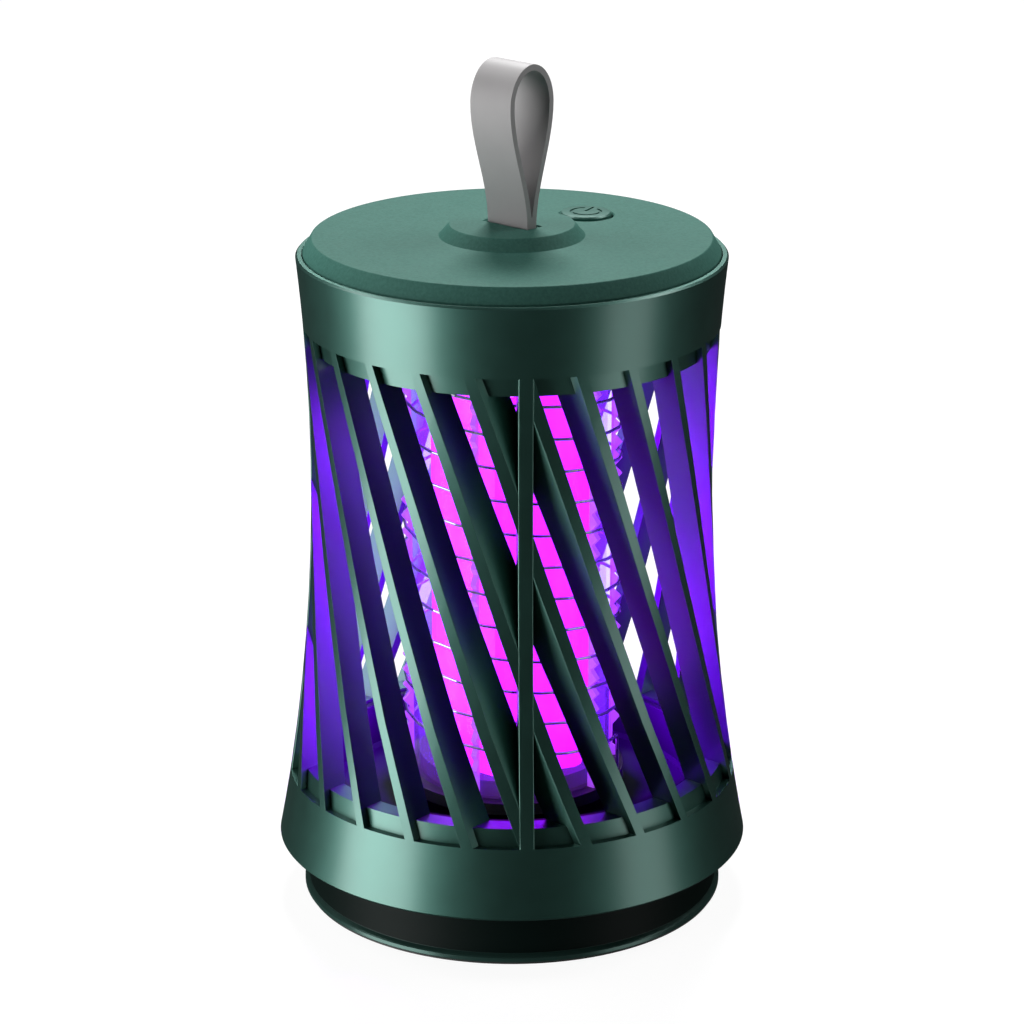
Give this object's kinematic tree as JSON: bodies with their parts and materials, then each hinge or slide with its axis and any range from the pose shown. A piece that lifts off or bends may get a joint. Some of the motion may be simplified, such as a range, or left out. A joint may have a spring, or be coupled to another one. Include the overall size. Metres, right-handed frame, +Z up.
{
  "type": "electric bug zapper",
  "caption": "Portable electric insect killer: flared slatted cage round an ultraviolet lamp with wire windings, push-fit tray below, push button and strap loop on top.",
  "frame": {"origin": "centre of the face it stands on", "axes": "+Z up along the lamp's axis, -Y towards the front, +X to the right seen from the front; the charging port faces +Y"},
  "size_m": [0.1188, 0.1188, 0.2132],
  "materials": {
    "green_plastic": "satin moulded plastic",
    "strap": "matt silicone",
    "black_rubber": "matt rubber",
    "dark_plastic": "fine moulded",
    "clear_plastic": "clear moulded plastic",
    "glowing_guide": "frosted, lit from inside",
    "uv_led": "lit",
    "lamp_board": "white solder mask",
    "steel_wire": "drawn wire",
    "screw_steel": "zinc plated",
    "port_steel": "bright plated",
    "board_green": "solder mask",
    "component_black": "moulded package",
    "coil_yellow": "tape-wound coil",
    "capacitor_orange": "dipped film",
    "cell_sleeve": "shrink sleeve",
    "lead_red": "insulated lead",
    "indicator": "light pipe"
  },
  "bodies": {
    "housing": {"upper_ring": "green_plastic", "lower_ring": "green_plastic", "cage_slats": "green_plastic", "cage_ribs": "green_plastic", "top_cover": "green_plastic", "electronics_deck": "green_plastic", "cover_screws": "screw_steel", "circuit_board": "board_green", "board_screws": "screw_steel", "switch_body": "component_black", "controller_chip": "component_black", "hv_transformer": "coil_yellow", "hv_capacitors": "capacitor_orange", "usb_port": "port_steel", "charge_indicator": "indicator", "battery_holder": "dark_plastic", "battery_cell": "cell_sleeve", "hv_leads": "lead_red", "strap_tail": "strap", "strap_retainer": "dark_plastic", "strap_screws": "screw_steel", "lamp_head": "dark_plastic", "lamp_screws": "screw_steel", "lamp_tube": "clear_plastic", "light_guide": "glowing_guide", "led_board": "lamp_board", "uv_leds": "uv_led", "lamp_foot": "dark_plastic", "electrode_comb_1": "clear_plastic", "electrode_comb_2": "clear_plastic", "electrode_comb_3": "clear_plastic", "electrode_comb_4": "clear_plastic", "electrode_comb_5": "clear_plastic", "electrode_comb_6": "clear_plastic", "electrode_wire_a": "steel_wire", "electrode_wire_b": "steel_wire"},
    "button": {"power_button": "green_plastic", "switch_stem": "capacitor_orange"},
    "strap": {"strap_loop": "strap"},
    "tray": {"insect_tray": "green_plastic", "tray_seal": "black_rubber", "grip_ring": "black_rubber"}
  },
  "joints": [
    {"name": "button_press", "type": "slide", "parent": "housing", "child": "button", "axis": [0, 0, -1], "range_m": [0, 0.0006], "stiffness_N_per_m": 2500},
    {"name": "strap_lean", "type": "hinge", "parent": "housing", "child": "strap", "pos_m": [0, 0, 0.1732], "axis": [-0.7431, 0.6691, 0], "range_deg": [-40, 40], "stiffness_Nm_per_rad": 0.03},
    {"name": "tray_pull", "type": "slide", "parent": "housing", "child": "tray", "axis": [0, 0, -1], "range_m": [0, 0.045]}
  ]
}
